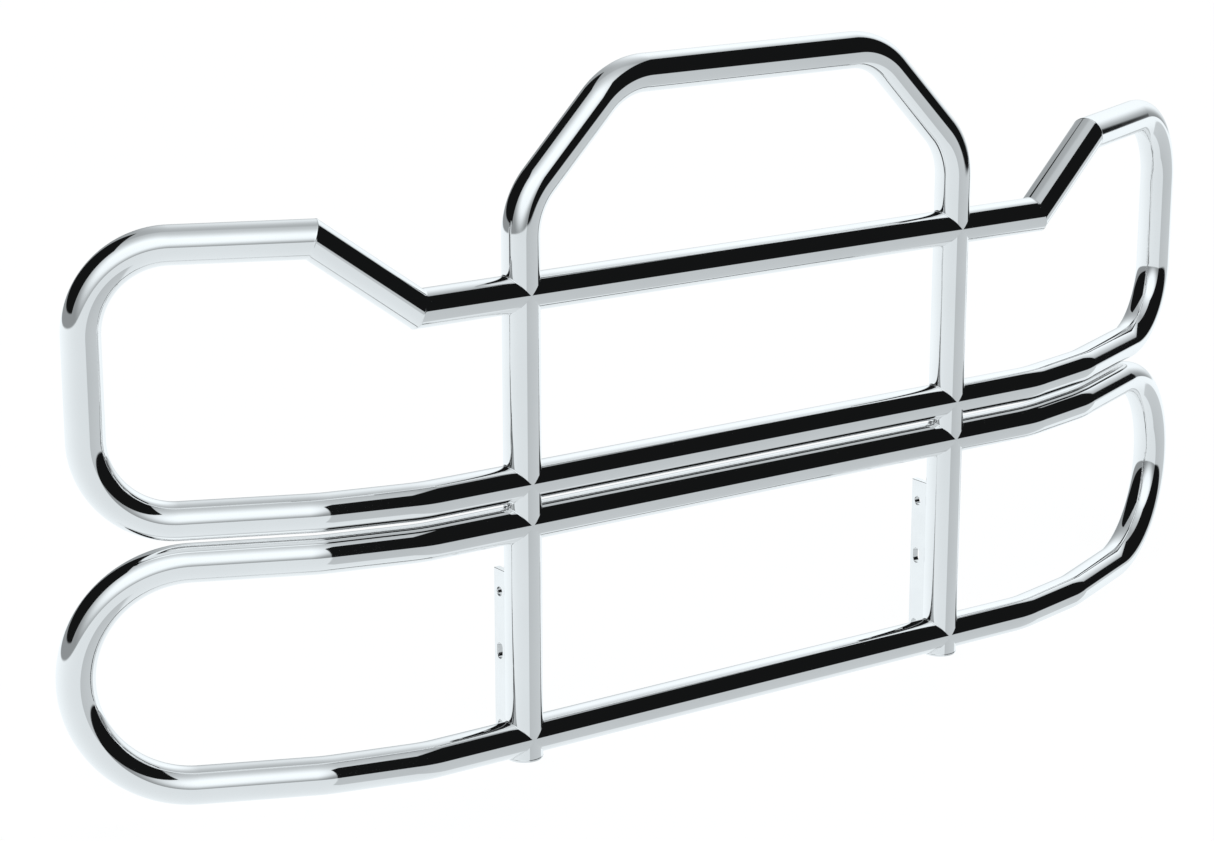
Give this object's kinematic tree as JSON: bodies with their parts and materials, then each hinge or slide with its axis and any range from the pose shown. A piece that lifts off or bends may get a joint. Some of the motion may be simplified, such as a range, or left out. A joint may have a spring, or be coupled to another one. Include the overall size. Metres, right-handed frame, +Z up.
{
  "type": "truck front grille guard",
  "caption": "Polished tubular guard for the front of a heavy truck: arched centre hoop, level crossbars, and swept wing loops round the headlamps.",
  "frame": {"origin": "under the middle of the guard: halfway through its width and its depth, level with the bottom of the uprights", "axes": "+X across the truck to the viewer's right when facing the guard, +Y back towards the truck, +Z up"},
  "size_m": [2.4434, 0.2611, 1.1773],
  "materials": {
    "tube": "mirror polished",
    "plate": "bright, fine ground",
    "weld": "ground and polished"
  },
  "bodies": {
    "root": {"center_hoop": "tube", "top_crossbar": "tube", "upper_middle_crossbar": "tube", "lower_middle_crossbar": "tube", "bottom_crossbar": "tube", "left_top_stub": "tube", "right_top_stub": "tube", "left_shoulder_brace": "tube", "right_shoulder_brace": "tube", "left_upper_wing_loop": "tube", "right_upper_wing_loop": "tube", "left_lower_wing_loop": "tube", "right_lower_wing_loop": "tube", "left_mount_plate": "plate", "right_mount_plate": "plate", "left_upright_cap": "tube", "right_upright_cap": "tube", "left_top_bar_weld": "weld", "right_top_bar_weld": "weld", "left_upper_middle_weld": "weld", "right_upper_middle_weld": "weld", "left_lower_middle_weld": "weld", "right_lower_middle_weld": "weld", "left_bottom_weld": "weld", "right_bottom_weld": "weld", "left_inner_mitre_weld": "weld", "right_inner_mitre_weld": "weld", "left_outer_mitre_weld": "weld", "right_outer_mitre_weld": "weld", "left_plate_weld": "weld", "right_plate_weld": "weld", "left_cap_weld": "weld", "right_cap_weld": "weld"}
  },
  "joints": []
}
